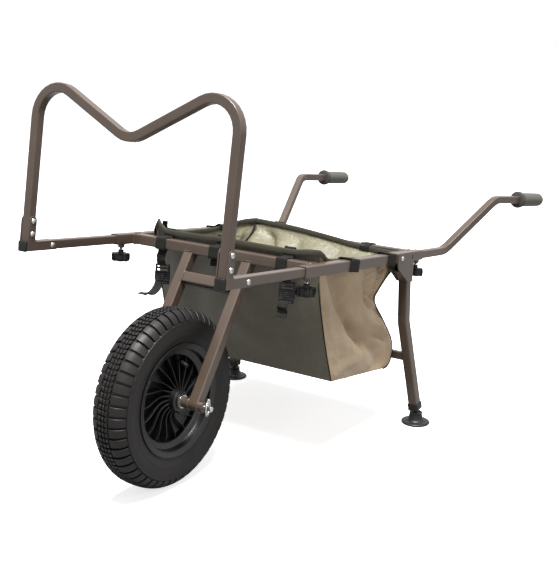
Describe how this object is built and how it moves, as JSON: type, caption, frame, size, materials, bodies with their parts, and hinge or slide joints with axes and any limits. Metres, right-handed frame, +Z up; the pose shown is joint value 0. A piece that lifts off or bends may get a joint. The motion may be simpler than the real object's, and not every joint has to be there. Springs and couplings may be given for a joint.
{
  "type": "fishing trolley",
  "caption": "Barrow with one pneumatic wheel in a raked fork, tube frame, sliding M-shaped load bar, bent handles, folding rear legs on swivel feet and a cloth bag slung between the rails.",
  "frame": {"origin": "on the ground, under the middle of the box round the trolley as it stands", "axes": "+Z up, -Y to the wheel and load bar, +Y to the grips, +X to the left of whoever pushes it; metres"},
  "size_m": [0.7136, 1.5468, 0.8687],
  "materials": {
    "bronze_paint": "satin bronze powder coat on square steel tube",
    "zinc_steel": "bright zinc plate",
    "black_plastic": "moulded black plastic",
    "rim_plastic": "moulded black plastic, slight sheen",
    "tyre_rubber": "black tyre rubber with block tread",
    "tube_rubber": "black rubber",
    "grip_rubber": "soft dark grey rubber",
    "khaki_cloth": "coated woven cloth, khaki",
    "olive_cloth": "coated woven cloth, dark olive",
    "webbing_tape": "woven webbing, very dark olive"
  },
  "bodies": {
    "chassis": {"axle": "zinc_steel", "axle_washer_left": "zinc_steel", "axle_washer_right": "zinc_steel", "bag_binding": "webbing_tape", "bag_floor": "khaki_cloth", "bag_front": "olive_cloth", "bag_rear": "olive_cloth", "bag_side_left": "khaki_cloth", "bag_side_right": "khaki_cloth", "fork_crossbar": "bronze_paint", "fork_leg_left": "bronze_paint", "fork_leg_right": "bronze_paint", "fork_tie_rod": "bronze_paint", "front_cross_rail": "bronze_paint", "front_strap_left": "webbing_tape", "front_strap_right": "webbing_tape", "leg_pivot_bolt_left": "zinc_steel", "leg_pivot_bolt_right": "zinc_steel", "lynch_pin": "zinc_steel", "main_rail_left": "bronze_paint", "main_rail_right": "bronze_paint", "rear_cross_rail": "bronze_paint"},
    "wheel": {"tyre": "tyre_rubber", "inner_tube": "tube_rubber", "rim_barrel": "rim_plastic", "rim_centre": "rim_plastic", "valve_stem": "tube_rubber", "wheel_bearing_left": "zinc_steel", "wheel_bearing_right": "zinc_steel"},
    "front_frame": {"m_bar": "bronze_paint", "arm_left": "bronze_paint", "arm_right": "bronze_paint", "arm_plug_left": "black_plastic", "arm_plug_right": "black_plastic", "bracket_bolt_left_1": "zinc_steel", "bracket_bolt_left_2": "zinc_steel", "bracket_bolt_left_3": "zinc_steel", "bracket_bolt_right_1": "zinc_steel", "bracket_bolt_right_2": "zinc_steel", "bracket_bolt_right_3": "zinc_steel", "bracket_plate_left_inner": "bronze_paint", "bracket_plate_left_outer": "bronze_paint", "bracket_plate_right_inner": "bronze_paint", "bracket_plate_right_outer": "bronze_paint"},
    "handle_left": {"handle_left": "bronze_paint", "grip_left": "grip_rubber"},
    "handle_right": {"handle_right": "bronze_paint", "grip_right": "grip_rubber"},
    "legs": {"leg_left": "bronze_paint", "leg_right": "bronze_paint", "leg_crossbar": "bronze_paint", "foot_stem_left": "black_plastic", "foot_stem_right": "black_plastic"},
    "foot_left": {"foot_left": "black_plastic"},
    "foot_right": {"foot_right": "black_plastic"},
    "knob_front_left": {"knob_front_left": "black_plastic"},
    "knob_front_right": {"knob_front_right": "black_plastic"},
    "knob_rear_left": {"knob_rear_left": "black_plastic"},
    "knob_rear_right": {"knob_rear_right": "black_plastic"},
    "lynch_ring": {"lynch_ring": "zinc_steel"}
  },
  "joints": [
    {"name": "wheel_spin", "type": "hinge", "parent": "chassis", "child": "wheel", "pos_m": [0, -0.57336, 0.2], "axis": [1, 0, 0], "continuous": true},
    {"name": "front_frame_slide", "type": "slide", "parent": "chassis", "child": "front_frame", "axis": [0, -0.9951, 0.0988], "range_m": [-0.185, 0.06]},
    {"name": "handle_slide_left", "type": "slide", "parent": "chassis", "child": "handle_left", "axis": [0, 0.9951, -0.0988], "range_m": [-0.012, 0.055]},
    {"name": "handle_slide_right", "type": "slide", "parent": "chassis", "child": "handle_right", "axis": [0, 0.9951, -0.0988], "range_m": [-0.012, 0.055]},
    {"name": "leg_fold", "type": "hinge", "parent": "chassis", "child": "legs", "pos_m": [0, -0.00751, 0.45371], "axis": [-1, 0, 0], "range_deg": [0, 90], "deforming": ["bag_side_left", "bag_side_right", "bag_rear", "bag_floor", "bag_binding"]},
    {"name": "foot_swivel_left", "type": "hinge", "parent": "legs", "child": "foot_left", "pos_m": [0.2938, 0.08869, 0.024], "axis": [1, 0, 0], "range_deg": [-15, 15]},
    {"name": "foot_swivel_right", "type": "hinge", "parent": "legs", "child": "foot_right", "pos_m": [-0.2938, 0.08869, 0.024], "axis": [1, 0, 0], "range_deg": [-15, 15]},
    {"name": "knob_turn_front_left", "type": "hinge", "parent": "chassis", "child": "knob_front_left", "pos_m": [0.2608, -0.42643, 0.46518], "axis": [0, 0.0988, 0.9951], "range_deg": [-360, 0]},
    {"name": "knob_turn_front_right", "type": "hinge", "parent": "chassis", "child": "knob_front_right", "pos_m": [-0.2608, -0.42643, 0.46518], "axis": [0, 0.0988, 0.9951], "range_deg": [-360, 0]},
    {"name": "knob_turn_rear_left", "type": "hinge", "parent": "chassis", "child": "knob_rear_left", "pos_m": [0.2608, 0.09998, 0.41289], "axis": [0, 0.0988, 0.9951], "range_deg": [-360, 0]},
    {"name": "knob_turn_rear_right", "type": "hinge", "parent": "chassis", "child": "knob_rear_right", "pos_m": [-0.2608, 0.09998, 0.41289], "axis": [0, 0.0988, 0.9951], "range_deg": [-360, 0]},
    {"name": "lynch_ring_lift", "type": "hinge", "parent": "chassis", "child": "lynch_ring", "pos_m": [0.116, -0.57173, 0.21642], "axis": [0.3894, -0.9166, 0.091], "range_deg": [0, 150]}
  ]
}
